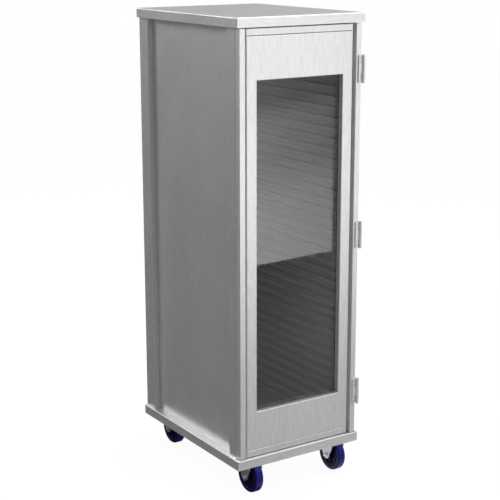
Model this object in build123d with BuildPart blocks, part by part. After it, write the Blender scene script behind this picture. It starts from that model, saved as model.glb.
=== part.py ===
from build123d import *
import os

# Enclosed bun pan rack: a tall aluminium cabinet on four swivel casters, with pan ledges down both
# walls and a full-height door that has a clear window. Millimetres, +Z up, the door faces -Y, and the
# origin is on the floor in the middle of the rack's outline, front tyres included.

# Deck and cap
deck_width = 533.4
deck_depth = 692.0
deck_skirt = 34.9
deck_sheet = 1.6
cap_skirt = 34.0
cap_sheet = 1.6
cap_lip = 30.0
fold_radius = 4.0
corner_radius = 2.0
ceiling_sheet = 1.2

# Body: height from the deck's top to the cap's lower edge
body_height = 1527.0
post_inset = 11.1
post_width = 24.0
front_post_depth = 48.5
rear_post_depth = 60.0
post_wall = 2.0
tube_corner = 1.0
side_sheet = 0.8
back_sheet = 1.0
back_inset = 1.4

# Cross members under the deck
member_width = 40.0
member_drop = 22.0
member_flange = 14.0
member_sheet = 1.6
member_spread = 330.0

# Pan ledges
slide_pitch = 38.1
slide_ledge = 13.0
slide_slope = 24.0
slide_sheet = 1.2
slide_tip_round = 1.0
slide_head_room = 40.0
slide_end_gap = 2.0
slide_lead_in = 8.0

# Door: depths are measured back from the front of its upright edge tubes
door_setback = 4.5
door_top_gap = 4.0
door_foot_gap = 2.0
door_back_gap = 1.0
door_side_inset = 0.8
stile_width = 22.2
stile_depth = 22.4
stile_wall = 1.6
core_sheet = 1.6
rail_setback = 8.0
rail_height = 24.0
rail_end_gap = 9.1
rail_sheet = 1.6
rail_round = 2.6
face_setback = 7.5
face_side_gap = 9.8
face_end_gap = 1.2
face_sheet = 1.6
face_round = 3.0

# Window
window_width = 360.0
window_height = 1180.0
window_sill = 169.0
window_edge_round = 3.0
window_reveal = 21.5
pane_thickness = 3.2
pane_overlap = 10.0
gasket_thickness = 2.0
gasket_width = 9.0
gasket_lip = 0.8

# Liner on the back of the door
liner_depth = 16.0
liner_sheet = 1.2
liner_flange = 16.0
liner_side_gap = 6.6
liner_end_gap = 8.0
liner_screw_inset = 11.0
liner_screws_high = 6
liner_window_margin = 6.0

# Hinges
hinge_height = 96.0
hinge_spread = 600.0
hinge_lift = 2.0
hinge_door_leaf = 5.0
hinge_cabinet_leaf = 3.0
hinge_leaf_round = 1.2
hinge_barrel_radius = 6.0
hinge_pin_radius = 3.0
hinge_pin_head_radius = 4.6
hinge_pin_head = 2.0
hinge_knuckle_gap = 0.3
hinge_axis_out = 5.1
hinge_axis_ahead = 6.5
hinge_door_leaf_width = 13.0
hinge_door_leaf_inset = 1.2
hinge_cabinet_leaf_reach = 68.0
hinge_notch = 7.5
hinge_screw_inset = 9.0
hinge_screw_pitch = 16.0
running_gap = 0.05

# Catch
catch_width = 46.0
catch_body = 24.0
catch_plate = 1.6
catch_depth = 20.0
catch_height = 18.0
catch_from_side = 50.0
catch_air = 0.3
strike_width = 40.0
strike_height = 12.0
strike_sheet = 1.5

# Fasteners
rivet_radius = 2.4
rivet_head_radius = 4.4
rivet_head = 1.2
rivet_dome = 0.9
rivet_grip = 4.0
rivet_spacing = 190.5
ceiling_rivet_spacing = 150.0
screw_radius = 2.0
screw_head_radius = 3.9
screw_head = 1.8
screw_dome = 1.1
screw_tip = 1.2
screw_length = 9.0
screw_slot = 0.8
screw_slot_depth = 0.7

# Casters
wheel_radius = 63.5
wheel_width = 31.8
tread_thickness = 19.0
tread_round = 6.5
core_rim = 5.0
core_web = 22.0
hub_radius = 15.0
hub_gap = 0.4
axle_radius = 5.0
axle_flats = 15.0
axle_head = 5.5
axle_nut = 6.0
trail = 21.0
fork_sheet = 4.0
fork_side_gap = 8.8
fork_boss_radius = 17.0
fork_knee_ahead = 26.0
fork_knee_rise = 34.0
fork_knee_radius = 8.0
crown_length = 80.0
crown_corner = 6.0
crown_gap = 4.0
swivel_gap = 0.3
race_height = 6.5
race_radius = 26.0
race_bore = 14.0
race_bevel = 1.2
plate_length = 92.0
plate_width = 66.0
plate_thickness = 3.0
plate_corner = 6.0
kingpin_radius = 5.0
kingpin_head_radius = 9.0
kingpin_head = 3.0
caster_side_inset = 82.4
caster_end_inset = 67.6
bolt_span_x = 73.0
bolt_span_y = 44.4
bolt_radius = 4.0
bolt_head_radius = 8.0
bolt_head = 2.6
bolt_dome = 1.3
bolt_nut_flats = 13.0
bolt_nut = 6.0

# Heights from the floor, which the casters set
crown_foot = 2 * wheel_radius + crown_gap
crown_top = crown_foot + fork_sheet
race_foot = crown_top + swivel_gap
plate_foot = race_foot + race_height
plate_top = plate_foot + plate_thickness
deck_top = plate_top + deck_sheet
deck_foot = deck_top - deck_skirt
cap_foot = deck_top + body_height
ceiling_foot = cap_foot + cap_sheet

# The outline runs from the front tyres to the deck's rear edge
tyre_overhang = trail + wheel_radius - caster_end_inset
deck_rear = (deck_depth + tyre_overhang) / 2
deck_front = deck_rear - deck_depth
deck_middle = (deck_front + deck_rear) / 2
deck_side = deck_width / 2

# Post faces
post_outer = deck_side - post_inset
post_inner = post_outer - post_width
post_rear = deck_rear - back_inset - back_sheet
wall_inner = post_inner - side_sheet

# Door depths, from front to back
door_front = deck_front + door_setback
rail_front = door_front + rail_setback
face_front = door_front + face_setback
gasket_front = face_front + window_reveal
pane_front = gasket_front + gasket_thickness
pane_back = pane_front + pane_thickness
core_front = door_front + stile_depth
core_back = core_front + core_sheet
liner_back = core_back + liner_depth
post_front = core_back + door_back_gap

# Door heights and widths
door_foot = deck_top + door_foot_gap
door_top = cap_foot - door_top_gap
door_height = door_top - door_foot
door_middle = (door_foot + door_top) / 2
door_side = post_outer - door_side_inset
stile_inner = door_side - stile_width
rail_half = stile_inner - rail_end_gap
face_half = stile_inner - face_side_gap
face_foot = door_foot + rail_height + face_end_gap
face_top = door_top - rail_height - face_end_gap
window_foot = deck_top + window_sill
window_middle = window_foot + window_height / 2
liner_half = post_inner - liner_side_gap
liner_foot = deck_top + liner_end_gap
liner_top = cap_foot - liner_end_gap

os.makedirs("parts", exist_ok=True)


def keep(piece, name):
    """Label a finished piece and write it to its own file."""
    piece.part.label = name
    export_step(piece.part, f"parts/{name}.step")


def facing_front(y):
    """A plane across the rack at depth y: its own x is +X and its own y is +Z."""
    return Plane.XZ.offset(-y)


def aimed(x, y, z, direction):
    """A place whose own z points along direction."""
    return Plane(origin=(x, y, z), z_dir=direction)


def drill(places, radius, depth):
    """Cut a round hole through each place, depth long and centred on it."""
    with Locations(*places):
        Cylinder(radius, depth, mode=Mode.SUBTRACT)


def even_steps(low, high, spacing):
    """Places from low to high, both included, no further apart than about spacing."""
    gaps = max(1, round((high - low) / spacing))
    return [low + (high - low) * step / gaps for step in range(gaps + 1)]


def across(width, height, x, z):
    """Draw a rectangle centred at x and z on a plane that faces the front."""
    with Locations((x, z)):
        Rectangle(width, height)


# Places of the fasteners. Holes and fasteners share these lists.
rivet_margin = 60.0
rivet_lift = slide_pitch / 3
front_post_line = post_front + front_post_depth / 2
rear_post_line = post_rear - rear_post_depth / 2
rivet_heights = [
    deck_top + slide_pitch * step + rivet_lift
    for step in range(1, int(body_height / slide_pitch), round(rivet_spacing / slide_pitch))
]


def side_rivet_places(side, lines):
    """Rivets through a side panel into the posts, heads inside the cabinet."""
    return [aimed(side * wall_inner, y, z, (-side, 0, 0)) for y in lines for z in rivet_heights]


def back_rivet_places(sides):
    """Rivets through the back panel into the rear posts, heads outside."""
    x = post_outer - post_width / 2
    return [aimed(side * x, post_rear + back_sheet, z, (0, 1, 0)) for side in sides for z in rivet_heights]


ceiling_rivet_places = [
    aimed(side * (deck_side - cap_lip / 2), y, cap_foot, (0, 0, -1))
    for side in (-1, 1)
    for y in even_steps(post_front + front_post_depth + rivet_margin,
                        post_rear - rear_post_depth - rivet_margin, ceiling_rivet_spacing)
]

caster_spots = {
    "front_left": (-deck_side + caster_side_inset, deck_front + caster_end_inset),
    "front_right": (deck_side - caster_side_inset, deck_front + caster_end_inset),
    "rear_left": (-deck_side + caster_side_inset, deck_rear - caster_end_inset),
    "rear_right": (deck_side - caster_side_inset, deck_rear - caster_end_inset),
}

caster_bolt_spots = [
    (x + step_x * bolt_span_x / 2, y + step_y * bolt_span_y / 2)
    for x, y in caster_spots.values()
    for step_x in (-1, 1)
    for step_y in (-1, 1)
]

hinge_x = post_outer + hinge_axis_out
hinge_y = door_front - hinge_axis_ahead
hinge_heights = [door_middle + hinge_lift + step * hinge_spread for step in (-1, 0, 1)]
door_leaf_middle = door_side - hinge_door_leaf_inset - hinge_door_leaf_width / 2
cabinet_leaf_rear = hinge_y + hinge_cabinet_leaf_reach
cabinet_leaf_front = hinge_y + hinge_notch
cabinet_screw_line = (post_front + cabinet_leaf_rear) / 2
outer_screw = hinge_height / 2 - hinge_screw_inset
door_screw_rises = [
    -outer_screw,
    -outer_screw + hinge_screw_pitch,
    outer_screw - hinge_screw_pitch,
    outer_screw,
]
cabinet_screw_rises = [-outer_screw, 0, outer_screw]

door_hinge_screw_places = [
    aimed(door_leaf_middle, door_front - hinge_door_leaf, z + rise, (0, -1, 0))
    for z in hinge_heights
    for rise in door_screw_rises
]
cabinet_hinge_screw_places = [
    aimed(post_outer + hinge_cabinet_leaf, cabinet_screw_line, z + rise, (1, 0, 0))
    for z in hinge_heights
    for rise in cabinet_screw_rises
]

liner_screw_places = [
    aimed(side * (liner_half - liner_screw_inset), liner_back, z, (0, 1, 0))
    for side in (-1, 1)
    for z in even_steps(liner_foot + rivet_margin, liner_top - rivet_margin,
                        (liner_top - liner_foot) / liner_screws_high)
]

catch_x = -(post_inner - catch_from_side)
catch_front = liner_back + strike_sheet + catch_air
catch_screw_places = [
    aimed(catch_x + side * (catch_width + catch_body) / 4, catch_front + catch_depth / 2,
          ceiling_foot - catch_plate, (0, 0, -1))
    for side in (-1, 1)
]


# Base deck: one sheet folded down on four sides, with holes for the caster bolts
with BuildPart() as base_deck:
    with BuildSketch(Plane.XY.offset(deck_foot)):
        with Locations((0, deck_middle)):
            Rectangle(deck_width, deck_depth)
    extrude(amount=deck_skirt)
    fillet(base_deck.edges().filter_by(Axis.Z), corner_radius)
    fillet(base_deck.faces().sort_by(Axis.Z)[-1].edges(), fold_radius)
    offset(amount=-deck_sheet, openings=base_deck.faces().sort_by(Axis.Z)[0])
    with Locations(*[(x, y, deck_top) for x, y in caster_bolt_spots]):
        Cylinder(bolt_radius + running_gap, 4 * deck_sheet, mode=Mode.SUBTRACT)
keep(base_deck, "base_deck")


# Cross members: hat channels welded under the deck between the casters
with BuildPart() as deck_cross_members:
    for end in (-1, 1):
        line = deck_middle + end * member_spread / 2
        with BuildSketch(Plane.YZ.offset(-post_outer)):
            with Locations((line, plate_top - member_drop / 2)):
                Rectangle(member_width, member_drop)
            with Locations((line, plate_top - (member_drop - member_sheet) / 2)):
                Rectangle(member_width - 2 * member_sheet, member_drop - member_sheet, mode=Mode.SUBTRACT)
            for edge in (-1, 1):
                with Locations((line + edge * (member_width + member_flange) / 2, plate_top - member_sheet / 2)):
                    Rectangle(member_flange, member_sheet)
        extrude(amount=2 * post_outer)
keep(deck_cross_members, "deck_cross_members")


# Top cap: a folded sheet like the deck, with a lip turned in round its lower edge
with BuildPart() as top_cap:
    with BuildSketch(Plane.XY.offset(cap_foot)):
        with Locations((0, deck_middle)):
            Rectangle(deck_width, deck_depth)
    extrude(amount=cap_skirt)
    fillet(top_cap.edges().filter_by(Axis.Z), corner_radius)
    fillet(top_cap.faces().sort_by(Axis.Z)[-1].edges(), fold_radius)
    offset(amount=-cap_sheet, openings=top_cap.faces().sort_by(Axis.Z)[0])
    with BuildSketch(Plane.XY.offset(cap_foot)):
        with Locations((0, deck_middle)):
            Rectangle(deck_width - cap_sheet, deck_depth - cap_sheet)
            Rectangle(deck_width - 2 * cap_lip, deck_depth - 2 * cap_lip, mode=Mode.SUBTRACT)
    extrude(amount=cap_sheet)
    drill(ceiling_rivet_places, rivet_radius + running_gap, 4 * cap_sheet)
keep(top_cap, "top_cap")


# Ceiling panel: a flat sheet that lies on the cap's lip and closes the cabinet above
with BuildPart() as ceiling_panel:
    with BuildSketch(Plane.XY.offset(ceiling_foot)):
        with Locations((0, deck_middle)):
            Rectangle(deck_width - 4 * cap_sheet, deck_depth - 4 * cap_sheet)
    extrude(amount=ceiling_sheet)
    drill(ceiling_rivet_places, rivet_radius + running_gap, 4 * (cap_sheet + ceiling_sheet))
    drill(catch_screw_places, screw_radius + running_gap, 4 * (cap_sheet + ceiling_sheet))
keep(ceiling_panel, "ceiling_panel")


# Posts: box tubes that stand on the deck and carry the cap
for side_name, side in (("left", -1), ("right", 1)):
    for end_name, depth, line in (
        ("front", front_post_depth, front_post_line),
        ("rear", rear_post_depth, rear_post_line),
    ):
        with BuildPart() as post:
            with BuildSketch(Plane.XY.offset(deck_top)):
                with Locations((side * (post_outer - post_width / 2), line)):
                    RectangleRounded(post_width, depth, tube_corner)
                    Rectangle(post_width - 2 * post_wall, depth - 2 * post_wall, mode=Mode.SUBTRACT)
            extrude(amount=body_height)
            drill(side_rivet_places(side, [line]), rivet_radius + running_gap, 2 * rivet_grip)
            if end_name == "rear":
                drill(back_rivet_places([side]), rivet_radius + running_gap, 2 * rivet_grip)
            if end_name == "front" and side_name == "right":
                drill(cabinet_hinge_screw_places, screw_radius + running_gap, 2 * screw_length)
        keep(post, f"{end_name}_{side_name}_post")


# Side panels: flat sheets riveted to the posts' inner faces
for side_name, side in (("left", -1), ("right", 1)):
    with BuildPart() as side_panel:
        with BuildSketch(Plane.YZ.offset(side * (wall_inner + side_sheet / 2))):
            with Locations(((post_front + post_rear) / 2, deck_top + body_height / 2)):
                Rectangle(post_rear - post_front, body_height)
        extrude(amount=side_sheet / 2, both=True)
        drill(side_rivet_places(side, [front_post_line, rear_post_line]),
              rivet_radius + running_gap, 4 * side_sheet)
    keep(side_panel, f"{side_name}_side_panel")


# Back panel: a flat sheet riveted over the rear posts
with BuildPart() as back_panel:
    with BuildSketch(facing_front(post_rear)):
        across(2 * post_outer, body_height, 0, deck_top + body_height / 2)
    extrude(amount=-back_sheet)
    drill(back_rivet_places([-1, 1]), rivet_radius + running_gap, 4 * back_sheet)
keep(back_panel, "back_panel")


# Pan ledges: one folded rib for each pan, a narrow shelf with a sloping face back to the wall,
# welded to the side panel. The shelf's front corner is cut back to lead the pan in.
slide_front = liner_back + slide_end_gap
slide_rear = post_rear - slide_end_gap
slide_count = int((body_height - slide_head_room) / slide_pitch)
slope_length = (slide_ledge**2 + slide_slope**2) ** 0.5
slope_across = slide_sheet * slope_length / slide_slope
slope_down = slide_sheet * slope_length / slide_ledge
under_tip = slide_sheet * slide_ledge / slide_slope + slope_across
for side_name, side in (("left", -1), ("right", 1)):
    wall = side * wall_inner
    tip = side * (wall_inner - slide_ledge)
    with BuildPart(mode=Mode.PRIVATE) as slide:
        with BuildSketch(facing_front(slide_front)) as rib_profile:
            with BuildLine():
                Polyline((wall, 0), (tip, 0), (wall, -slide_slope), close=True)
            make_face()
            fillet(rib_profile.vertices().sort_by_distance((tip, slide_front, 0))[0], slide_tip_round)
            with BuildLine():
                Polyline((wall, -slide_sheet), (tip + side * under_tip, -slide_sheet),
                         (wall, -slide_slope + slope_down), close=True)
            make_face(mode=Mode.SUBTRACT)
        extrude(amount=slide_front - slide_rear)
        with BuildSketch(Plane.XY):
            with BuildLine():
                Polyline((tip, slide_front), (tip + side * slide_lead_in, slide_front),
                         (tip, slide_front + slide_lead_in), close=True)
            make_face()
        extrude(amount=slide_slope, both=True, mode=Mode.SUBTRACT)
    with BuildPart() as pan_slides:
        with Locations(*[(0, 0, deck_top + slide_pitch * (step + 1)) for step in range(slide_count)]):
            add(slide.part)
    keep(pan_slides, f"{side_name}_pan_slides")


# One rivet: a domed head above its seat and a shank below it
with BuildPart() as rivet:
    with Locations((0, 0, rivet_head / 2)):
        Cylinder(rivet_head_radius, rivet_head)
    fillet(rivet.edges().sort_by(Axis.Z)[-1], rivet_dome)
    with Locations((0, 0, -rivet_grip / 2)):
        Cylinder(rivet_radius, rivet_grip)

def slotted_screw(length):
    """One screw: a domed slotted head above its seat and a shank below it."""
    with BuildPart() as screw:
        with Locations((0, 0, screw_head / 2)):
            Cylinder(screw_head_radius, screw_head)
        fillet(screw.edges().sort_by(Axis.Z)[-1], screw_dome)
        with Locations((0, 0, screw_head)):
            Box(2 * screw_head_radius, screw_slot, 2 * screw_slot_depth, mode=Mode.SUBTRACT)
        with Locations((0, 0, -length / 2)):
            Cylinder(screw_radius, length)
    return screw.part


short_screw = slotted_screw(screw_length)
liner_screw = slotted_screw(liner_depth + core_sheet + screw_tip)

# One hinge screw: a slotted head sunk flush with the leaf
with BuildPart() as hinge_screw:
    with Locations((0, 0, -screw_head / 2)):
        Cone(screw_radius, screw_head_radius, screw_head)
    Box(2 * screw_head_radius, screw_slot, 2 * screw_slot_depth, mode=Mode.SUBTRACT)
    with Locations((0, 0, -screw_length / 2)):
        Cylinder(screw_radius, screw_length)


# Rivets of the side panels
with BuildPart() as side_panel_rivets:
    for side in (-1, 1):
        with Locations(*side_rivet_places(side, [front_post_line, rear_post_line])):
            add(rivet.part)
keep(side_panel_rivets, "side_panel_rivets")


# Rivets of the back panel
with BuildPart() as back_panel_rivets:
    with Locations(*back_rivet_places([-1, 1])):
        add(rivet.part)
keep(back_panel_rivets, "back_panel_rivets")


# Rivets that hold the ceiling to the cap's lip
with BuildPart() as ceiling_rivets:
    with Locations(*ceiling_rivet_places):
        add(rivet.part)
keep(ceiling_rivets, "ceiling_rivets")


# Magnetic catch: a block with two ears, screwed up under the ceiling behind the door's top corner
with BuildPart() as door_catch:
    with BuildSketch(Plane.XY.offset(ceiling_foot)):
        with Locations((catch_x, catch_front + catch_depth / 2)):
            Rectangle(catch_width, catch_depth)
    extrude(amount=-catch_plate)
    with BuildSketch(Plane.XY.offset(ceiling_foot)):
        with Locations((catch_x, catch_front + catch_depth / 2)):
            Rectangle(catch_body, catch_depth)
    extrude(amount=-catch_height)
    drill(catch_screw_places, screw_radius + running_gap, 4 * catch_plate)
    with Locations(*catch_screw_places):
        add(short_screw)
keep(door_catch, "door_catch")


# Door stiles: the upright edge tubes, proud of the face so that a hand can pull on them
for side_name, side in (("left", -1), ("right", 1)):
    with BuildPart() as stile:
        with BuildSketch(Plane.XY.offset(door_foot)):
            with Locations((side * (door_side - stile_width / 2), door_front + stile_depth / 2)):
                RectangleRounded(stile_width, stile_depth, tube_corner)
                Rectangle(stile_width - 2 * stile_wall, stile_depth - 2 * stile_wall, mode=Mode.SUBTRACT)
        extrude(amount=door_height)
        if side_name == "right":
            drill(door_hinge_screw_places, screw_radius + running_gap, 2 * screw_length)
    keep(stile, f"door_{side_name}_stile")


# Door rails: shallow folded boxes, open at the back, at the door's top and foot
for rail_name, height in (("top", door_top - rail_height / 2), ("bottom", door_foot + rail_height / 2)):
    with BuildPart() as rail:
        with BuildSketch(facing_front(rail_front)):
            across(2 * rail_half, rail_height, 0, height)
        extrude(amount=rail_front - core_front)
        fillet(rail.faces().sort_by(Axis.Y)[0].edges(), rail_round)
        offset(amount=-rail_sheet, openings=rail.faces().sort_by(Axis.Y)[-1])
    keep(rail, f"door_{rail_name}_rail")


# Door core: the flat sheet behind stiles, rails and face that joins them into one door
with BuildPart() as door_core_sheet:
    with BuildSketch(facing_front(core_front)):
        across(2 * door_side, door_height, 0, door_middle)
        with Locations((0, window_middle)):
            Rectangle(window_width + 4 * face_sheet, window_height + 4 * face_sheet, mode=Mode.SUBTRACT)
    extrude(amount=-core_sheet)
    drill(liner_screw_places, screw_radius + running_gap, 4 * liner_depth)
keep(door_core_sheet, "door_core_sheet")


# Door face: a pan with rounded edges, and a deep sheet reveal that runs back to the window
with BuildPart() as door_face_panel:
    with BuildSketch(facing_front(face_front)):
        across(2 * face_half, face_top - face_foot, 0, (face_foot + face_top) / 2)
        with Locations((0, window_middle)):
            Rectangle(window_width, window_height, mode=Mode.SUBTRACT)
    extrude(amount=face_front - core_front)
    fillet(door_face_panel.faces().sort_by(Axis.Y)[0].outer_wire().edges(), face_round)
    fillet(door_face_panel.faces().sort_by(Axis.Y)[0].inner_wires()[0].edges(), window_edge_round)
    offset(amount=-face_sheet, openings=door_face_panel.faces().sort_by(Axis.Y)[-1])
    with BuildSketch(facing_front(core_front)):
        across(window_width + 2 * face_sheet, window_height + 2 * face_sheet, 0, window_middle)
        with Locations((0, window_middle)):
            Rectangle(window_width, window_height, mode=Mode.SUBTRACT)
    extrude(amount=core_front - gasket_front)
keep(door_face_panel, "door_face_panel")


# Gasket: a flat rubber ring between the reveal and the pane, which shows as a thin dark line
with BuildPart() as window_gasket:
    with BuildSketch(facing_front(gasket_front)):
        across(window_width + 2 * gasket_width, window_height + 2 * gasket_width, 0, window_middle)
        with Locations((0, window_middle)):
            Rectangle(window_width - 2 * gasket_lip, window_height - 2 * gasket_lip, mode=Mode.SUBTRACT)
    extrude(amount=-gasket_thickness)
keep(window_gasket, "window_gasket")


# Window pane: clear polycarbonate
with BuildPart() as window_pane:
    with BuildSketch(facing_front(pane_front)):
        across(window_width + 2 * pane_overlap, window_height + 2 * pane_overlap, 0, window_middle)
    extrude(amount=-pane_thickness)
keep(window_pane, "window_pane")


# Liner: an inner pan whose window return clamps the pane, and whose rim plugs the doorway
liner_height = liner_top - liner_foot
liner_middle = (liner_foot + liner_top) / 2
liner_window_width = window_width + 2 * liner_window_margin
liner_window_height = window_height + 2 * liner_window_margin
with BuildPart() as door_liner:
    with BuildSketch(facing_front(liner_back - liner_sheet)):
        across(2 * liner_half, liner_height, 0, liner_middle)
        with Locations((0, window_middle)):
            Rectangle(liner_window_width, liner_window_height, mode=Mode.SUBTRACT)
    extrude(amount=-liner_sheet)
    with BuildSketch(facing_front(core_back)):
        with Locations((0, liner_middle)):
            Rectangle(2 * liner_half, liner_height)
            Rectangle(2 * (liner_half - liner_sheet), liner_height - 2 * liner_sheet, mode=Mode.SUBTRACT)
    extrude(amount=-liner_depth)
    with BuildSketch(facing_front(core_back)):
        with Locations((0, liner_middle)):
            Rectangle(2 * liner_half, liner_height)
            Rectangle(2 * (liner_half - liner_flange), liner_height - 2 * liner_flange, mode=Mode.SUBTRACT)
    extrude(amount=-liner_sheet)
    with BuildSketch(facing_front(pane_back)):
        with Locations((0, window_middle)):
            Rectangle(liner_window_width + 2 * liner_sheet, liner_window_height + 2 * liner_sheet)
            Rectangle(liner_window_width, liner_window_height, mode=Mode.SUBTRACT)
    extrude(amount=pane_back - liner_back)
    drill(liner_screw_places, screw_radius + running_gap, 4 * liner_depth)
keep(door_liner, "door_liner")


# Screws that hold the liner to the core sheet
with BuildPart() as liner_screws:
    with Locations(*liner_screw_places):
        add(liner_screw)
keep(liner_screws, "liner_screws")


# Strike: the steel plate on the liner that the magnet holds
with BuildPart() as door_strike:
    with BuildSketch(facing_front(liner_back)):
        across(strike_width, strike_height, catch_x, liner_top - strike_height / 2)
    extrude(amount=-strike_sheet)
keep(door_strike, "door_strike")


# Hinges. Each has three knuckles on one pin: the middle one belongs to the door's leaf.
knuckle = (hinge_height - 2 * hinge_knuckle_gap) / 3
knuckle_step = knuckle + hinge_knuckle_gap
hinge_bore = hinge_pin_radius + running_gap

# Door leaves: flat on the front of the right stile
with BuildPart() as hinge_door_leaves:
    for z in hinge_heights:
        with BuildSketch(Plane.XY.offset(z - hinge_height / 2)):
            with Locations((door_leaf_middle, door_front - hinge_door_leaf / 2)):
                RectangleRounded(hinge_door_leaf_width, hinge_door_leaf, hinge_leaf_round)
        extrude(amount=hinge_height)
        with BuildSketch(Plane.XY.offset(z - knuckle / 2)):
            with Locations((hinge_x, hinge_y)):
                Circle(hinge_barrel_radius)
            with Locations(((door_leaf_middle + hinge_x) / 2, door_front - hinge_door_leaf / 2)):
                Rectangle(hinge_x - door_leaf_middle, hinge_door_leaf)
            with Locations((hinge_x, hinge_y)):
                Circle(hinge_bore, mode=Mode.SUBTRACT)
        extrude(amount=knuckle)
    with Locations(*door_hinge_screw_places):
        CounterSinkHole(screw_radius + running_gap, screw_head_radius + running_gap, 2 * hinge_door_leaf)
keep(hinge_door_leaves, "hinge_door_leaves")


# Cabinet leaves: flat on the outer side of the right front post, past the door's edge
with BuildPart() as hinge_cabinet_leaves:
    for z in hinge_heights:
        with BuildSketch(Plane.XY.offset(z - hinge_height / 2)):
            with Locations((post_outer + hinge_cabinet_leaf / 2, (cabinet_leaf_front + cabinet_leaf_rear) / 2)):
                Rectangle(hinge_cabinet_leaf, cabinet_leaf_rear - cabinet_leaf_front)
        extrude(amount=hinge_height)
        for step in (-1, 1):
            with BuildSketch(Plane.XY.offset(z + step * knuckle_step - knuckle / 2)):
                with Locations((hinge_x, hinge_y)):
                    Circle(hinge_barrel_radius)
                with Locations((post_outer + hinge_cabinet_leaf / 2, (hinge_y + cabinet_leaf_front) / 2)):
                    Rectangle(hinge_cabinet_leaf, cabinet_leaf_front - hinge_y)
                with Locations((hinge_x, hinge_y)):
                    Circle(hinge_bore, mode=Mode.SUBTRACT)
            extrude(amount=knuckle)
    with Locations(*cabinet_hinge_screw_places):
        CounterSinkHole(screw_radius + running_gap, screw_head_radius + running_gap, 2 * hinge_cabinet_leaf)
keep(hinge_cabinet_leaves, "hinge_cabinet_leaves")


# Hinge pins, with a button head at each end
with BuildPart() as hinge_pins:
    for z in hinge_heights:
        with Locations((hinge_x, hinge_y, z)):
            Cylinder(hinge_pin_radius, hinge_height + 2 * hinge_pin_head)
        for step in (-1, 1):
            with Locations((hinge_x, hinge_y, z + step * (hinge_height + hinge_pin_head) / 2)):
                Cylinder(hinge_pin_head_radius, hinge_pin_head)
keep(hinge_pins, "hinge_pins")


# Hinge screws, flush with their leaves
with BuildPart() as hinge_door_screws:
    with Locations(*door_hinge_screw_places):
        add(hinge_screw.part)
keep(hinge_door_screws, "hinge_door_screws")

with BuildPart() as hinge_cabinet_screws:
    with Locations(*cabinet_hinge_screw_places):
        add(hinge_screw.part)
keep(hinge_cabinet_screws, "hinge_cabinet_screws")


# Casters: plates, raceways, kingpins and bolts belong to the cabinet
fork_inner = wheel_width / 2 + fork_side_gap
fork_outer = fork_inner + fork_sheet

for caster_name, (x, y) in caster_spots.items():
    with BuildPart() as caster_plate:
        with BuildSketch(Plane.XY.offset(plate_foot)):
            with Locations((x, y)):
                RectangleRounded(plate_length, plate_width, plate_corner)
                Circle(kingpin_radius + running_gap, mode=Mode.SUBTRACT)
                with GridLocations(bolt_span_x, bolt_span_y, 2, 2):
                    Circle(bolt_radius + running_gap, mode=Mode.SUBTRACT)
        extrude(amount=plate_thickness)
    keep(caster_plate, f"{caster_name}_caster_plate")

with BuildPart() as caster_raceways:
    for x, y in caster_spots.values():
        with BuildSketch(Plane.XY.offset(race_foot)):
            with Locations((x, y)):
                Circle(race_radius)
                Circle(race_bore, mode=Mode.SUBTRACT)
        extrude(amount=race_height)
    chamfer(caster_raceways.faces().filter_by(Axis.Z).group_by(Axis.Z)[0].edges(), race_bevel)
keep(caster_raceways, "caster_raceways")

with BuildPart() as caster_kingpins:
    for x, y in caster_spots.values():
        with BuildSketch(Plane.XY.offset(plate_top)):
            with Locations((x, y)):
                Circle(kingpin_radius)
        extrude(amount=crown_foot - swivel_gap - plate_top)
        with BuildSketch(Plane.XY.offset(crown_foot - swivel_gap)):
            with Locations((x, y)):
                Circle(kingpin_head_radius)
        extrude(amount=-kingpin_head)
keep(caster_kingpins, "caster_kingpins")

with BuildPart() as caster_bolts:
    for x, y in caster_bolt_spots:
        with BuildSketch(Plane.XY.offset(deck_top)):
            with Locations((x, y)):
                Circle(bolt_head_radius)
        extrude(amount=bolt_head)
        with BuildSketch(Plane.XY.offset(plate_foot - bolt_nut)):
            with Locations((x, y)):
                Circle(bolt_radius)
        extrude(amount=bolt_nut + plate_thickness + deck_sheet)
    fillet(caster_bolts.faces().filter_by(Axis.Z).group_by(Axis.Z)[-1].edges(), bolt_dome)
keep(caster_bolts, "caster_bolts")

with BuildPart() as caster_nuts:
    for x, y in caster_bolt_spots:
        with BuildSketch(Plane.XY.offset(plate_foot)):
            with Locations((x, y)):
                RegularPolygon(bolt_nut_flats / 2, 6, major_radius=False)
                Circle(bolt_radius + running_gap, mode=Mode.SUBTRACT)
        extrude(amount=-bolt_nut)
keep(caster_nuts, "caster_nuts")


# Forks: a crown under the plate and two broad legs. Each leg's front edge leans forward from the
# round end at the axle to a knee, and runs back from there to the crown.
for caster_name, (x, y) in caster_spots.items():
    with BuildPart() as fork:
        with BuildSketch(Plane.XY.offset(crown_foot)):
            with Locations((x, y)):
                Rectangle(2 * fork_outer, crown_length)
        extrude(amount=fork_sheet)
        fillet(fork.edges().filter_by(Axis.Z), crown_corner)
        for side in (-1, 1):
            with BuildSketch(Plane.YZ.offset(x + side * (fork_inner + fork_sheet / 2))):
                with Locations((y - trail, wheel_radius)):
                    Circle(fork_boss_radius)
                with Locations((y - trail - fork_knee_ahead, wheel_radius + fork_knee_rise)):
                    Circle(fork_knee_radius)
                with Locations((y, crown_foot + fork_sheet / 2)):
                    Rectangle(crown_length - 2 * crown_corner, fork_sheet)
                make_hull()
                with Locations((y - trail, wheel_radius)):
                    Circle(axle_radius + running_gap, mode=Mode.SUBTRACT)
            extrude(amount=fork_sheet / 2, both=True)
        with BuildSketch(Plane.XY.offset(crown_foot)):
            with Locations((x, y)):
                Circle(kingpin_radius + running_gap)
        extrude(amount=fork_sheet, mode=Mode.SUBTRACT)
    keep(fork, f"{caster_name}_fork")


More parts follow.
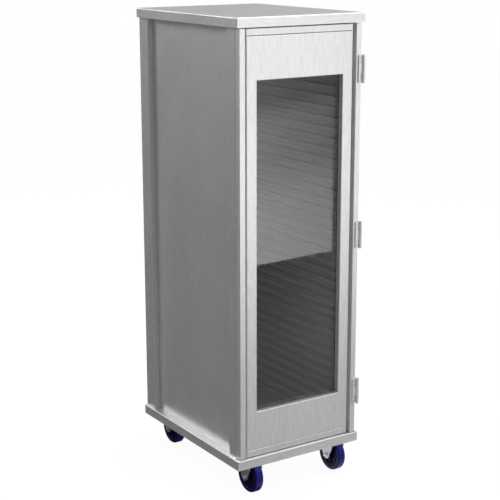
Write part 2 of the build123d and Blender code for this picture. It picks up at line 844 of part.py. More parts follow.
# Axles: a hex bolt through the fork, its head outwards, with a nut on the inner side
for caster_name, (x, y) in caster_spots.items():
    outward = 1 if x > 0 else -1
    head_plane = Plane(origin=(x + outward * fork_outer, y - trail, wheel_radius), z_dir=(outward, 0, 0))
    nut_plane = Plane(origin=(x - outward * fork_outer, y - trail, wheel_radius), z_dir=(-outward, 0, 0))
    with BuildPart() as axle:
        with BuildSketch(head_plane):
            RegularPolygon(axle_flats / 2, 6, major_radius=False)
        extrude(amount=axle_head)
        with BuildSketch(head_plane):
            Circle(axle_radius)
        extrude(amount=-2 * fork_outer - axle_nut)
        with BuildSketch(nut_plane):
            RegularPolygon(axle_flats / 2, 6, major_radius=False)
            Circle(axle_radius + running_gap, mode=Mode.SUBTRACT)
        extrude(amount=axle_nut)
    keep(axle, f"{caster_name}_axle")


# Wheels: a moulded core with a long hub, a web and a rim, inside a thick solid tread
core_radius = wheel_radius - tread_thickness
for caster_name, (x, y) in caster_spots.items():
    wheel_plane = Plane(origin=(x, y - trail, wheel_radius), x_dir=(0, 0, 1), z_dir=(0, 1, 0))
    spin = Axis((x, y - trail, wheel_radius), (1, 0, 0))
    with BuildPart() as wheel_core:
        with BuildSketch(wheel_plane):
            with Locations(((core_radius + axle_radius) / 2, 0)):
                Rectangle(core_radius - axle_radius, core_web)
            with Locations((core_radius - core_rim / 2, 0)):
                Rectangle(core_rim, wheel_width)
            with Locations(((hub_radius + axle_radius) / 2, 0)):
                Rectangle(hub_radius - axle_radius, 2 * (fork_inner - hub_gap))
            with Locations((axle_radius, 0)):
                Rectangle(2 * running_gap, 2 * fork_inner, mode=Mode.SUBTRACT)
        revolve(axis=spin)
    keep(wheel_core, f"{caster_name}_wheel_core")

    with BuildPart() as tread:
        with BuildSketch(wheel_plane) as tread_profile:
            with Locations((core_radius + tread_thickness / 2, 0)):
                Rectangle(tread_thickness, wheel_width)
            fillet(tread_profile.vertices().group_by(Axis.Z)[-1], tread_round)
        revolve(axis=spin)
    keep(tread, f"{caster_name}_tread")
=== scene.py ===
import math

import bmesh
import bpy
from mathutils import Matrix, Vector


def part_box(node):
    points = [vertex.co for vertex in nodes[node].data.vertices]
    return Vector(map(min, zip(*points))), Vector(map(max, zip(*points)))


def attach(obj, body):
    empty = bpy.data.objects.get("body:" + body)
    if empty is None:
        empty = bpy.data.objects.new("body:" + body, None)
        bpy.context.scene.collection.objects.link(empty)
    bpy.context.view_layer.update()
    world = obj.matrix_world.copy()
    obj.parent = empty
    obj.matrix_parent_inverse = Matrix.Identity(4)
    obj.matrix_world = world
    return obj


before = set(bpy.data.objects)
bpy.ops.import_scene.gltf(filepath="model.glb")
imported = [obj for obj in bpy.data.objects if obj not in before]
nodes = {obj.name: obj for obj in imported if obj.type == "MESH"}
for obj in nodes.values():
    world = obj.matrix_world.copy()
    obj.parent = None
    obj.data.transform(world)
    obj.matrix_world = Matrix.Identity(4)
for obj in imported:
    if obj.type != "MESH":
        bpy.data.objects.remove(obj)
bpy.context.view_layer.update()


# The studio: a pale floor that runs back out of sight, with nothing on it but the rack.
# The camera sees it as plain white paper, and it still takes the rack's soft shadow.


def new_object(name, mesh):
    """Put a finished mesh into the scene under its own name."""
    made = bpy.data.objects.new(name, mesh)
    bpy.context.scene.collection.objects.link(made)
    return made


def board(name, corners):
    """A flat studio board through four corners."""
    sheet = bmesh.new()
    sheet.faces.new([sheet.verts.new(corner) for corner in corners])
    mesh = bpy.data.meshes.new(name)
    sheet.to_mesh(mesh)
    sheet.free()
    made = new_object(name, mesh)
    return made


def plain_material(name):
    """An empty material: its node tree and its output node."""
    material = bpy.data.materials.new(name)
    material.use_nodes = True
    material.node_tree.nodes.clear()
    output = material.node_tree.nodes.new("ShaderNodeOutputMaterial")
    return material, material.node_tree, output


floor_half = 14.0
floor_tone = 0.80
floor_white_share = 0.88
paper_strength = 1.06

floor = board("studio_floor", [
    (-floor_half, -floor_half, 0.0),
    (floor_half, -floor_half, 0.0),
    (floor_half, floor_half, 0.0),
    (-floor_half, floor_half, 0.0),
])
paper, tree, output = plain_material("floor_paper")
lit_paper = tree.nodes.new("ShaderNodeBsdfDiffuse")
lit_paper.inputs["Color"].default_value = (floor_tone, floor_tone, floor_tone, 1.0)
white_paper = tree.nodes.new("ShaderNodeEmission")
white_paper.inputs["Strength"].default_value = paper_strength
seen = tree.nodes.new("ShaderNodeLightPath")
in_metal_too = tree.nodes.new("ShaderNodeMath")
in_metal_too.operation = "MAXIMUM"
through_glass_too = tree.nodes.new("ShaderNodeMath")
through_glass_too.operation = "MAXIMUM"
share = tree.nodes.new("ShaderNodeMath")
share.operation = "MULTIPLY"
share.inputs[1].default_value = floor_white_share
mixed = tree.nodes.new("ShaderNodeMixShader")
tree.links.new(seen.outputs["Is Camera Ray"], in_metal_too.inputs[0])
tree.links.new(seen.outputs["Is Glossy Ray"], in_metal_too.inputs[1])
tree.links.new(in_metal_too.outputs["Value"], through_glass_too.inputs[0])
tree.links.new(seen.outputs["Is Transmission Ray"], through_glass_too.inputs[1])
tree.links.new(through_glass_too.outputs["Value"], share.inputs[0])
tree.links.new(share.outputs["Value"], mixed.inputs["Fac"])
tree.links.new(lit_paper.outputs["BSDF"], mixed.inputs[1])
tree.links.new(white_paper.outputs["Emission"], mixed.inputs[2])
tree.links.new(mixed.outputs["Shader"], output.inputs["Surface"])
floor.data.materials.append(paper)


# The room's own light: plain white behind the rack and through its window. Metal shows the room at
# half that brightness, and the soft light that falls on everything is a little stronger than that.

room_tone = 0.50
room_light = 0.60

world = bpy.data.worlds.new("studio_room")
bpy.context.scene.world = world
world.use_nodes = True
room = world.node_tree
room.nodes.clear()
room_output = room.nodes.new("ShaderNodeOutputWorld")
room_path = room.nodes.new("ShaderNodeLightPath")


def room_background(strength):
    """An even white light from every side of the room."""
    made = room.nodes.new("ShaderNodeBackground")
    made.inputs["Color"].default_value = (1.0, 1.0, 1.0, 1.0)
    made.inputs["Strength"].default_value = strength
    return made.outputs["Background"]


def room_choice(ray, otherwise, chosen):
    """Show one room to the rays of one kind, and the other room to the rest."""
    made = room.nodes.new("ShaderNodeMixShader")
    room.links.new(room_path.outputs[ray], made.inputs["Fac"])
    room.links.new(otherwise, made.inputs[1])
    room.links.new(chosen, made.inputs[2])
    return made.outputs["Shader"]


room_seen = room_choice("Is Glossy Ray", room_background(room_light), room_background(room_tone))
room_seen = room_choice("Is Transmission Ray", room_seen, room_background(1.0))
room_seen = room_choice("Is Camera Ray", room_seen, room_background(1.0))
room.links.new(room_seen, room_output.inputs["Surface"])


# Boards that only metal and glass see. On the floor in front of the door a dark stretch ends in
# a bright one, which gives the window its sheen. Dark boards lie and stand all along the left, as
# a dark studio would, and a grey one stands behind on the right.


def mirror_board(name, corners, tones):
    """A board with a tone at each corner, which lights nothing and casts no shadow."""
    made = board(name, corners)
    shades = made.data.color_attributes.new("tone", "FLOAT_COLOR", "POINT")
    for corner, tone in zip(shades.data, tones):
        corner.color = (tone, tone, tone, 1.0)
    material, tree, output = plain_material(name + "_face")
    tone_here = tree.nodes.new("ShaderNodeAttribute")
    tone_here.attribute_name = "tone"
    glow = tree.nodes.new("ShaderNodeEmission")
    glow.inputs["Strength"].default_value = 1.0
    tree.links.new(tone_here.outputs["Color"], glow.inputs["Color"])
    tree.links.new(glow.outputs["Emission"], output.inputs["Surface"])
    made.data.materials.append(material)
    made.visible_camera = False
    made.visible_diffuse = False
    made.visible_shadow = False


board_lift = 0.004
front_slant = -0.08
front_start = 0.42
left_edge = (-0.5, 0.45)
right_edge = (1.6, 0.70)

# Each step of a stretch is its distance from the rack, its tone on the left and on the right.
dark_stretches = (
    (front_start, 0.36, 0.33),
    (1.60, 0.36, 0.38),
    (2.86, 0.06, 0.06),
)
bright_stretches = (
    (2.86, 4.60, 0.26),
    (5.60, 3.70, 0.00),
    (9.00, 2.20, 0.00),
    (13.00, 4.00, 0.00),
)


def front_point(edge, distance):
    """A point on a long edge of the front boards. The edge is its own start and its slope."""
    across = edge[0] + edge[1] * (distance - front_start)
    return (across, -distance + front_slant * across, board_lift)


def floor_stretches(name, stretches):
    """Lay boards end to end, away from the door."""
    for step, (near, far) in enumerate(zip(stretches, stretches[1:])):
        mirror_board(f"{name}_{step}", [
            front_point(left_edge, near[0]), front_point(left_edge, far[0]),
            front_point(right_edge, far[0]), front_point(right_edge, near[0]),
        ], (near[1], far[1], far[2], near[2]))


floor_stretches("dark_floor", dark_stretches)
floor_stretches("bright_floor", bright_stretches)


def floor_board(name, outline, tones):
    """A board that lies on the floor."""
    mirror_board(name, [(x, y, board_lift) for x, y in outline], tones)


def wall_board(name, start, end, foot, top, tones):
    """A board that stands upright from start to end."""
    mirror_board(name, [(*start, foot), (*end, foot), (*end, top), (*start, top)], tones)


far_right_corner = (-0.32, 11.0)
far_left_corner = (-9.6, 5.5)
near_left_corner = (-8.5, -2.5)
near_right_corner = (2.1, -8.8)

floor_board("left_floor_board", [
    (-0.14, -0.36), (-0.14, 11.0), far_left_corner, (-5.0, -0.30),
], (0.06, 0.06, 0.10, 0.08))
floor_board("left_front_board", [
    (-0.54, -0.31), (-0.54, -0.42), (3.3, -9.5), (-1.5, -9.5), (-5.75, -5.6), near_left_corner,
], (0.05, 0.05, 0.05, 0.05, 0.05, 0.05))
wall_board("left_front_wall_board", near_left_corner, near_right_corner, 0.0, 7.5, (0.03, 0.05, 0.05, 0.03))
wall_board("left_end_wall_board", far_left_corner, near_left_corner, 0.0, 5.0, (0.05, 0.03, 0.03, 0.30))
wall_board("left_wall_board", far_left_corner, far_right_corner, 0.0, 2.8, (0.16, 0.03, 0.04, 0.20))
wall_board("back_board", (0.6, 7.0), (9.0, 3.5), 1.0, 7.0, (0.22, 0.22, 0.30, 0.30))


# Lamps: a soft one high in front on the right for the door, a broader one overhead, which lights
# every folded edge that faces up, and one high behind on the left for the side and the cap.


def soft_lamp(name, place, aim, size, power):
    """A square soft lamp at place that looks at aim."""
    lamp = bpy.data.lights.new(name, "AREA")
    lamp.shape = "SQUARE"
    lamp.size = size
    lamp.energy = power
    made = bpy.data.objects.new(name, lamp)
    bpy.context.scene.collection.objects.link(made)
    made.location = place
    made.rotation_euler = (Vector(aim) - Vector(place)).to_track_quat("-Z", "Y").to_euler()


rack_middle = (0.0, 0.0, 0.8)

soft_lamp("key_lamp", (1.6, -3.6, 2.9), rack_middle, size=2.0, power=27.0)
soft_lamp("top_lamp", (1.5, -0.6, 4.2), rack_middle, size=2.8, power=53.0)
soft_lamp("left_lamp", (-3.1, 3.1, 3.7), rack_middle, size=1.6, power=74.0)


# The camera stands in front of the rack and to its left, a little higher than its top, with a
# long lens, as the photograph was taken. Its reach is measured in widths of the deck.

deck_width = 0.5334
deck_low, deck_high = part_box("base_deck")
deck_middle = (deck_low.y + deck_high.y) / 2
camera_reach = Vector((-4.7796, -7.3367, 3.5013)) * deck_width
camera_side = Vector((0.8379, -0.5458, 0.0))
camera_up = Vector((0.1307, 0.2007, 0.9709))
camera_roll = math.radians(0.10)
photo_side = 500
focal_pixels = 1278.7
optic_across = 247.8
optic_down = 247.5
sensor = 36.0

lens = bpy.data.cameras.new("camera")
lens.sensor_fit = "HORIZONTAL"
lens.sensor_width = sensor
lens.lens = focal_pixels / photo_side * sensor
lens.shift_x = (photo_side / 2 - optic_across) / photo_side
lens.shift_y = (optic_down - photo_side / 2) / photo_side
lens.clip_end = 100.0
camera = bpy.data.objects.new("camera", lens)
bpy.context.scene.collection.objects.link(camera)
side = (camera_side * math.cos(camera_roll) - camera_up * math.sin(camera_roll)).normalized()
up = (camera_up * math.cos(camera_roll) + camera_side * math.sin(camera_roll)).normalized()
back = side.cross(up).normalized()
up = back.cross(side)
camera_place = camera_reach + Vector((0.0, deck_middle, deck_low.z))
camera.matrix_world = Matrix.Translation(camera_place) @ Matrix((
    (side.x, up.x, back.x, 0.0),
    (side.y, up.y, back.y, 0.0),
    (side.z, up.z, back.z, 0.0),
    (0.0, 0.0, 0.0, 1.0),
))
bpy.context.scene.camera = camera
bpy.context.scene.view_settings.view_transform = "Standard"


# Base deck: one aluminium sheet with its four sides folded down and its corners welded, over two
# hat channels that carry the casters. The mill finish runs across the sheet, with faint scuffs.


line_depth = 0.0002
noise_low = 0.3
noise_high = 0.7
patch_wear = 0.04
band_wear = 0.05


def brushed_sheet(name, tone, roughness, grain, streaks=0.12, scuffs=0.025, relief=0.08, metal=0.8):
    """Aluminium or steel whose polishing lines run along one axis: grain is x, y or z."""
    material = bpy.data.materials.new(name)
    material.use_nodes = True
    tree = material.node_tree
    surface = tree.nodes["Principled BSDF"]
    surface.inputs["Metallic"].default_value = metal
    place = tree.nodes.new("ShaderNodeTexCoord")

    def drawn_out(with_grain, across_grain):
        return tuple(with_grain if axis == grain else across_grain for axis in "xyz")

    def noise(scale, detail):
        stretch = tree.nodes.new("ShaderNodeMapping")
        stretch.inputs["Scale"].default_value = scale
        made = tree.nodes.new("ShaderNodeTexNoise")
        made.inputs["Scale"].default_value = 1.0
        made.inputs["Detail"].default_value = detail
        tree.links.new(place.outputs["Object"], stretch.inputs["Vector"])
        tree.links.new(stretch.outputs["Vector"], made.inputs["Vector"])
        return made.outputs["Fac"]

    def ramp(value, low, high):
        made = tree.nodes.new("ShaderNodeMapRange")
        made.inputs["From Min"].default_value = noise_low
        made.inputs["From Max"].default_value = noise_high
        made.inputs["To Min"].default_value = low
        made.inputs["To Max"].default_value = high
        tree.links.new(value, made.inputs["Value"])
        return made.outputs["Result"]

    def times(first, second):
        made = tree.nodes.new("ShaderNodeMath")
        made.operation = "MULTIPLY"
        tree.links.new(first, made.inputs[0])
        tree.links.new(second, made.inputs[1])
        return made.outputs["Value"]

    lines = noise(drawn_out(with_grain=28.0, across_grain=260.0), 3.0)
    bands = noise(drawn_out(with_grain=9.0, across_grain=120.0), 2.0)
    patches = noise((7.0, 7.0, 5.0), 4.0)
    shade = times(ramp(lines, 1.0 - streaks, 1.0), ramp(bands, 1.0 - streaks / 3, 1.0))
    shade = times(shade, ramp(patches, 1.0 - scuffs, 1.0))
    tint = tree.nodes.new("ShaderNodeVectorMath")
    tint.operation = "SCALE"
    tint.inputs[0].default_value = tone
    tree.links.new(shade, tint.inputs["Scale"])
    tree.links.new(tint.outputs["Vector"], surface.inputs["Base Color"])
    wear = times(ramp(patches, roughness * (1.0 - patch_wear), roughness * (1.0 + patch_wear)),
                 ramp(bands, 1.0 - band_wear, 1.0 + band_wear))
    tree.links.new(wear, surface.inputs["Roughness"])
    groove = tree.nodes.new("ShaderNodeBump")
    groove.inputs["Strength"].default_value = relief
    groove.inputs["Distance"].default_value = line_depth
    tree.links.new(lines, groove.inputs["Height"])
    tree.links.new(groove.outputs["Normal"], surface.inputs["Normal"])
    return material


def finish(material, *names):
    """Give CAD pieces one material."""
    for name in names:
        mesh = nodes[name].data
        mesh.materials.clear()
        mesh.materials.append(material)


deck_metal = brushed_sheet("deck_aluminium", (0.90, 0.90, 0.905), 0.40, "x")
finish(deck_metal, "base_deck", "deck_cross_members")


# Stitch welds: short rippled aluminium beads along the flanges of the two channels under the
# deck, which hold the channels to the sheet.

full_turn = 2 * math.pi


def ringed(sheet, centre, axis, outline, steps=40):
    """Turn a closed outline round an axis. The outline's points are radius and place along it."""
    axis = Vector(axis).normalized()
    across = axis.orthogonal().normalized()
    other = axis.cross(across)
    rows = []
    for step in range(steps):
        angle = full_turn * step / steps
        out = across * math.cos(angle) + other * math.sin(angle)
        rows.append([
            sheet.verts.new(Vector(centre) + out * reach + axis * rise) for reach, rise in outline
        ])
    for row, following in zip(rows, rows[1:] + rows[:1]):
        for here in range(len(outline)):
            after = (here + 1) % len(outline)
            sheet.faces.new((row[here], row[after], following[after], following[here]))


ripple_share = 0.10
ripple_slices = 4
blunt_end = 0.02


def bead(sheet, start, end, radius, ripple=0.0032, sides=10):
    """One weld bead from start to end, rippled along its length and rounded off at its ends."""
    start = Vector(start)
    run = Vector(end) - start
    length = run.length
    along = run.normalized()
    across = along.orthogonal().normalized()
    other = along.cross(across)
    slices = round(length / ripple * ripple_slices)
    rows = []
    for step in range(slices + 1):
        place = length * step / slices
        from_end = min(place, length - place)
        taper = math.sqrt(max(blunt_end, 1 - max(0.0, 1 - from_end / radius) ** 2))
        girth = radius * taper * (1 + ripple_share * math.sin(full_turn * place / ripple))
        rows.append([
            sheet.verts.new(start + along * place + girth * (
                across * math.cos(full_turn * side / sides) + other * math.sin(full_turn * side / sides)))
            for side in range(sides)
        ])
    for row, following in zip(rows, rows[1:]):
        for here in range(sides):
            after = (here + 1) % sides
            sheet.faces.new((row[here], row[after], following[after], following[here]))
    sheet.faces.new(rows[0])
    sheet.faces.new(rows[-1])


sharp_edge = math.radians(40)


def piece(name, sheet, material, body):
    """Finish a built mesh: smooth it, give it its material and let it ride on its body."""
    bmesh.ops.recalc_face_normals(sheet, faces=sheet.faces[:])
    mesh = bpy.data.meshes.new(name)
    sheet.to_mesh(mesh)
    sheet.free()
    mesh.shade_smooth()
    mesh.set_sharp_from_angle(angle=sharp_edge)
    mesh.materials.append(material)
    made = new_object(name, mesh)
    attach(made, body)


channel_reach = 0.068
channel_sheet = 0.0016
bead_radius = 0.0015
bead_length = 0.028
stitches = (-0.17, -0.06, 0.06, 0.17)
channels_low, channels_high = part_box("deck_cross_members")
flange_edges = (
    channels_low.y, channels_low.y + channel_reach,
    channels_high.y - channel_reach, channels_high.y,
)
weld_metal = brushed_sheet("weld_aluminium", (0.72, 0.72, 0.73), 0.48, "x", scuffs=0.12)
welds = bmesh.new()
for edge in flange_edges:
    for middle in stitches:
        weld_height = channels_high.z - channel_sheet / 2
        bead(welds, (middle - bead_length / 2, edge, weld_height),
             (middle + bead_length / 2, edge, weld_height), bead_radius)
piece("deck_stitch_welds", welds, weld_metal, "cabinet")


# Posts: four extruded aluminium box tubes that stand on the deck and carry the cap. They are
# brushed along their length and welded at both ends.

post_metal = brushed_sheet("post_aluminium", (0.88, 0.88, 0.885), 0.38, "z")
finish(post_metal, "front_left_post", "front_right_post", "rear_left_post", "rear_right_post")


# Side and back panels: thin aluminium sheets, brushed upright. Blind rivets hold the side panels
# to the posts' inner faces and the back panel to the rear posts.

panel_metal = brushed_sheet("panel_aluminium", (0.86, 0.86, 0.865), 0.40, "z")
finish(panel_metal, "left_side_panel", "right_side_panel", "back_panel")
rivet_metal = brushed_sheet("rivet_aluminium", (0.78, 0.78, 0.79), 0.45, "z")
finish(rivet_metal, "side_panel_rivets", "back_panel_rivets", "ceiling_rivets")


# Rivet mandrels: the dark steel stem that each blind rivet was pulled up with, which broke off
# inside its head.

axis_hole = 0.0001
mandrel_radius = 0.0012
mandrel_rise = 0.00035
mandrel_sunk = 0.0006
mandrel_shoulder = 0.6
mandrel_tip = 0.8
mandrel_hollow = 0.5


def separate_boxes(name):
    """The box of each separate solid in a CAD piece: its lowest and its highest corner."""
    sheet = bmesh.new()
    sheet.from_mesh(nodes[name].data)
    reached = set()
    boxes = []
    for first in sheet.verts:
        if first in reached:
            continue
        reached.add(first)
        found = [first]
        for corner in found:
            for edge in corner.link_edges:
                beside = edge.other_vert(corner)
                if beside not in reached:
                    reached.add(beside)
                    found.append(beside)
        places = [nodes[name].matrix_world @ corner.co for corner in found]
        boxes.append((Vector(map(min, zip(*places))), Vector(map(max, zip(*places)))))
    sheet.free()
    return boxes


def stem(sheet, head, outward):
    """A broken stem that stands a little proud of a rivet's head."""
    ringed(sheet, head, outward, [
        (axis_hole, -mandrel_sunk), (mandrel_radius, -mandrel_sunk),
        (mandrel_radius, mandrel_rise * mandrel_shoulder),
        (mandrel_radius * mandrel_tip, mandrel_rise), (axis_hole, mandrel_rise * mandrel_hollow),
    ], steps=16)


stems = bmesh.new()
for low, high in separate_boxes("side_panel_rivets"):
    middle = (low + high) / 2
    inward = -1.0 if middle.x > 0 else 1.0
    stem(stems, (low.x if middle.x > 0 else high.x, middle.y, middle.z), (inward, 0.0, 0.0))
for low, high in separate_boxes("back_panel_rivets"):
    middle = (low + high) / 2
    stem(stems, (middle.x, high.y, middle.z), (0.0, 1.0, 0.0))
for low, high in separate_boxes("ceiling_rivets"):
    middle = (low + high) / 2
    stem(stems, (middle.x, middle.y, low.z), (0.0, 0.0, -1.0))
stem_steel = brushed_sheet("stem_steel", (0.45, 0.45, 0.46), 0.45, "z")
piece("rivet_stems", stems, stem_steel, "cabinet")


# Pan ledges: folded aluminium ribs, one pair for each pan, fixed to the side panels one above the
# other. They are less metallic than the sheets around them, and their darker tone is painted shade for the
# dark lines between them.

# Painted shade: the ledges' tone is darker than the panels'.
ledge_painted_shade_metal = brushed_sheet("ledge_aluminium_painted_shade", (0.60, 0.60, 0.605), 0.36, "y", metal=0.3)
finish(ledge_painted_shade_metal, "left_pan_slides", "right_pan_slides")


# Cap and ceiling: a folded aluminium pan turned upside down on the posts, brushed across, and a
# flat sheet that lies on its inner lip and is riveted to it.

cap_metal = brushed_sheet("cap_aluminium", (0.90, 0.90, 0.905), 0.40, "x")
finish(cap_metal, "top_cap", "ceiling_panel")


# Door: two upright aluminium tubes, two folded rails and a formed face round the window, all
# joined by a flat core sheet, with a folded liner screwed on behind. It is brushed upright.

door_metal = brushed_sheet("door_aluminium", (0.92, 0.92, 0.925), 0.42, "z")
finish(door_metal, "door_left_stile", "door_right_stile", "door_top_rail", "door_bottom_rail",
       "door_core_sheet", "door_face_panel", "door_liner")


# Window: a clear plastic sheet, which the liner clamps against a black rubber gasket behind the
# face's reveal. It hardly dims what is behind it, and it shines where it is seen at a slant.

pane_clearness = 0.95
pane_roughness = 0.008
slant_power = 5.0
head_on_shine = 0.050

pane = nodes["window_pane"]
clear, tree, output = plain_material("clear_sheet")
see_through = tree.nodes.new("ShaderNodeBsdfTransparent")
see_through.inputs["Color"].default_value = (pane_clearness, pane_clearness, pane_clearness, 1.0)
shine = tree.nodes.new("ShaderNodeBsdfGlossy")
shine.inputs["Roughness"].default_value = pane_roughness
turned_away = tree.nodes.new("ShaderNodeLayerWeight")
steeper = tree.nodes.new("ShaderNodeMath")
steeper.operation = "POWER"
steeper.inputs[1].default_value = slant_power
sheen = tree.nodes.new("ShaderNodeMapRange")
sheen.inputs["To Min"].default_value = head_on_shine
both = tree.nodes.new("ShaderNodeMixShader")
tree.links.new(turned_away.outputs["Facing"], steeper.inputs[0])
tree.links.new(steeper.outputs["Value"], sheen.inputs["Value"])
tree.links.new(sheen.outputs["Result"], both.inputs["Fac"])
tree.links.new(see_through.outputs["BSDF"], both.inputs[1])
tree.links.new(shine.outputs["BSDF"], both.inputs[2])
tree.links.new(both.outputs["Shader"], output.inputs["Surface"])
pane.data.materials.clear()
pane.data.materials.append(clear)


grain_depth = 0.0003
grain_low = 0.3
grain_high = 0.75
grain_dark = 0.75
grain_light = 1.2


def dull(name, tone, roughness, grain_size, relief, gloss=0.5):
    """Rubber or moulded plastic with a fine grain."""
    material = bpy.data.materials.new(name)
    material.use_nodes = True
    tree = material.node_tree
    surface = tree.nodes["Principled BSDF"]
    place = tree.nodes.new("ShaderNodeTexCoord")
    grain = tree.nodes.new("ShaderNodeTexNoise")
    grain.inputs["Scale"].default_value = grain_size
    grain.inputs["Detail"].default_value = 5.0
    tree.links.new(place.outputs["Object"], grain.inputs["Vector"])
    colours = tree.nodes.new("ShaderNodeValToRGB")
    colours.color_ramp.elements[0].position = grain_low
    colours.color_ramp.elements[0].color = tuple(part * grain_dark for part in tone) + (1.0,)
    colours.color_ramp.elements[1].position = grain_high
    colours.color_ramp.elements[1].color = tuple(part * grain_light for part in tone) + (1.0,)
    tree.links.new(grain.outputs["Fac"], colours.inputs["Fac"])
    tree.links.new(colours.outputs["Color"], surface.inputs["Base Color"])
    surface.inputs["Roughness"].default_value = roughness
    surface.inputs["Specular IOR Level"].default_value = gloss
    bump = tree.nodes.new("ShaderNodeBump")
    bump.inputs["Strength"].default_value = relief
    bump.inputs["Distance"].default_value = grain_depth
    tree.links.new(grain.outputs["Fac"], bump.inputs["Height"])
    tree.links.new(bump.outputs["Normal"], surface.inputs["Normal"])
    return material


gasket_rubber = dull("gasket_rubber", (0.02, 0.02, 0.02), 0.7, 900.0, 0.2)
finish(gasket_rubber, "window_gasket")


# Hinges, catch and screws: three plated steel hinges, screwed to the right stile and to the side of
# the right front post, and a black magnetic catch screwed up under the ceiling.

hinge_steel = brushed_sheet("hinge_steel", (0.88, 0.88, 0.89), 0.45, "z", metal=0.6)
finish(hinge_steel, "hinge_cabinet_leaves", "hinge_door_leaves", "hinge_pins")
screw_steel = brushed_sheet("screw_steel", (0.70, 0.70, 0.71), 0.35, "x")
finish(screw_steel, "hinge_cabinet_screws", "hinge_door_screws", "liner_screws", "door_strike")
catch_plastic = dull("catch_plastic", (0.03, 0.03, 0.03), 0.55, 700.0, 0.2)
finish(catch_plastic, "door_catch")


# Casters: zinc-plated steel plates, races and forks, bolted up under the deck. Each dark blue wheel turns
# on a bright hex bolt. Its tread carries painted shade on the flanks, darker than where it rolls, and its
# core has the same shaded near-black.

# Painted shade on the tread's flanks: where it begins, where it is whole, and how dark it gets.
flank_shade_starts = 0.55
flank_shade_is_whole = 0.97
flank_shade_tone = 0.22


def paint_flank_shade(material):
    """Painted shade: darken a tread where it faces sideways, along its axle."""
    tree = material.node_tree
    surface = tree.nodes["Principled BSDF"]
    tone = surface.inputs["Base Color"].links[0].from_socket
    facing = tree.nodes.new("ShaderNodeTexCoord")
    parts = tree.nodes.new("ShaderNodeSeparateXYZ")
    sideways = tree.nodes.new("ShaderNodeMath")
    sideways.operation = "ABSOLUTE"
    share = tree.nodes.new("ShaderNodeMapRange")
    share.inputs["From Min"].default_value = flank_shade_starts
    share.inputs["From Max"].default_value = flank_shade_is_whole
    share.inputs["To Min"].default_value = 1.0
    share.inputs["To Max"].default_value = flank_shade_tone
    darker = tree.nodes.new("ShaderNodeVectorMath")
    darker.operation = "SCALE"
    tree.links.new(facing.outputs["Normal"], parts.inputs["Vector"])
    tree.links.new(parts.outputs["X"], sideways.inputs[0])
    tree.links.new(sideways.outputs["Value"], share.inputs["Value"])
    tree.links.new(tone, darker.inputs[0])
    tree.links.new(share.outputs["Result"], darker.inputs["Scale"])
    tree.links.new(darker.outputs["Vector"], surface.inputs["Base Color"])


zinc = brushed_sheet("zinc_plate", (0.62, 0.63, 0.64), 0.30, "z", scuffs=0.15)
bolt_steel = brushed_sheet("bolt_steel", (0.90, 0.90, 0.90), 0.22, "x")
# The core's near-black matches the painted shade on the tread's flanks.
core_plastic = dull("wheel_core_plastic", (0.004, 0.004, 0.030), 0.30, 500.0, 0.15, gloss=0.10)
tread_rubber = dull("wheel_tread_rubber", (0.010, 0.008, 0.170), 0.35, 400.0, 0.25, gloss=0.20)
paint_flank_shade(tread_rubber)
casters = ("front_left", "front_right", "rear_left", "rear_right")
finish(zinc, "caster_raceways", "caster_kingpins", "caster_bolts", "caster_nuts")
for caster in casters:
    finish(zinc, caster + "_caster_plate", caster + "_fork")
    finish(bolt_steel, caster + "_axle")
    finish(core_plastic, caster + "_wheel_core")
    finish(tread_rubber, caster + "_tread")


# Caster fittings: plastic ribs moulded on both sides of each wheel's core, a raised ring on each
# side of its tread, a rubber dust ring pressed round each race, and a domed steel cap on each nut.

rib_count = 8
rib_inner = 0.0145
rib_outer = 0.0400
rib_foot = 0.0108
rib_top = 0.0152
rib_half_foot = 0.0017
rib_half_top = 0.0012
rib_round = 0.0004
tread_ring_radius = 0.0515
tread_ring_wire = 0.0009
race_clear = 0.0274
dust_ring_wire = 0.0009
crown_height = 0.1350
fork_outer = 0.0287
nut_reach = 0.0060
nut_cap_outline = [
    (axis_hole, -0.0004), (0.0066, -0.0004), (0.0066, 0.0009), (0.0062, 0.0022), (0.0051, 0.0037),
    (0.0034, 0.0047), (0.0016, 0.0051), (axis_hole, 0.0052),
]


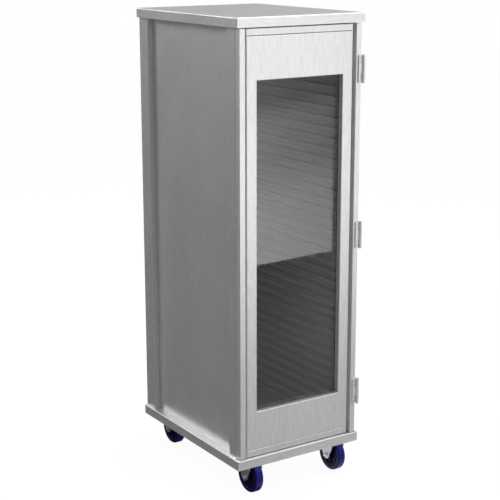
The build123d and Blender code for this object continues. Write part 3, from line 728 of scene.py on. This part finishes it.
def rib(sheet, centre, side, angle):
    """One moulded rib that runs out from the hub to the rim, narrower at its free edge."""
    out = Vector((0.0, math.cos(angle), math.sin(angle)))
    beside = Vector((0.0, -math.sin(angle), math.cos(angle)))
    level = Vector((side, 0.0, 0.0))
    corners_here = []
    for reach in (rib_inner, rib_outer):
        for rise, half in ((rib_foot, rib_half_foot), (rib_top, rib_half_top)):
            for way in (-1, 1):
                place = centre + out * reach + level * rise + beside * half * way
                corners_here.append(sheet.verts.new(place))
    inner_low, inner_low_far, inner_top, inner_top_far = corners_here[:4]
    outer_low, outer_low_far, outer_top, outer_top_far = corners_here[4:]
    faces = [
        sheet.faces.new((inner_low, inner_low_far, inner_top_far, inner_top)),
        sheet.faces.new((outer_low, outer_low_far, outer_top_far, outer_top)),
        sheet.faces.new((inner_low, inner_low_far, outer_low_far, outer_low)),
        sheet.faces.new((inner_top, inner_top_far, outer_top_far, outer_top)),
        sheet.faces.new((inner_low, inner_top, outer_top, outer_low)),
        sheet.faces.new((inner_low_far, inner_top_far, outer_top_far, outer_low_far)),
    ]
    edges = list(dict.fromkeys(edge for face in faces for edge in face.edges))
    bmesh.ops.bevel(sheet, geom=edges, offset=rib_round, segments=2, affect="EDGES", profile=0.5)


def wire_outline(radius, wire, rise, points=12):
    """The round section of a ring of wire, as radius and place along the ring's axis."""
    angles = [full_turn * step / points for step in range(points)]
    return [(radius + wire * math.cos(angle), rise + wire * math.sin(angle)) for angle in angles]


seal_rubber = dull("dust_ring_rubber", (0.015, 0.015, 0.016), 0.6, 600.0, 0.2)
for caster in casters:
    wheel_low, wheel_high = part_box(caster + "_tread")
    hub = (wheel_low + wheel_high) / 2
    half_width = (wheel_high.x - wheel_low.x) / 2
    plate_low, plate_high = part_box(caster + "_caster_plate")
    pivot = (plate_low + plate_high) / 2
    ribs = bmesh.new()
    rings = bmesh.new()
    ring_outline = wire_outline(tread_ring_radius, tread_ring_wire, half_width - tread_ring_wire / 3)
    for side in (-1, 1):
        for step in range(rib_count):
            rib(ribs, hub, side, full_turn * (step + 0.5) / rib_count)
        ringed(rings, hub, (side, 0.0, 0.0), ring_outline, steps=72)
    piece(caster + "_core_ribs", ribs, core_plastic, caster + "_wheel")
    piece(caster + "_tread_rings", rings, tread_rubber, caster + "_wheel")
    dust_ring = bmesh.new()
    ringed(dust_ring, (pivot.x, pivot.y, crown_height), (0.0, 0.0, 1.0),
           wire_outline(race_clear, dust_ring_wire, dust_ring_wire), steps=60)
    piece(caster + "_dust_ring", dust_ring, seal_rubber, caster + "_swivel")
    inward = -1.0 if hub.x > 0 else 1.0
    nut_cap = bmesh.new()
    ringed(nut_cap, (hub.x + inward * (fork_outer + nut_reach), hub.y, hub.z),
           (inward, 0.0, 0.0), nut_cap_outline, steps=32)
    piece(caster + "_nut_cap", nut_cap, bolt_steel, caster + "_swivel")
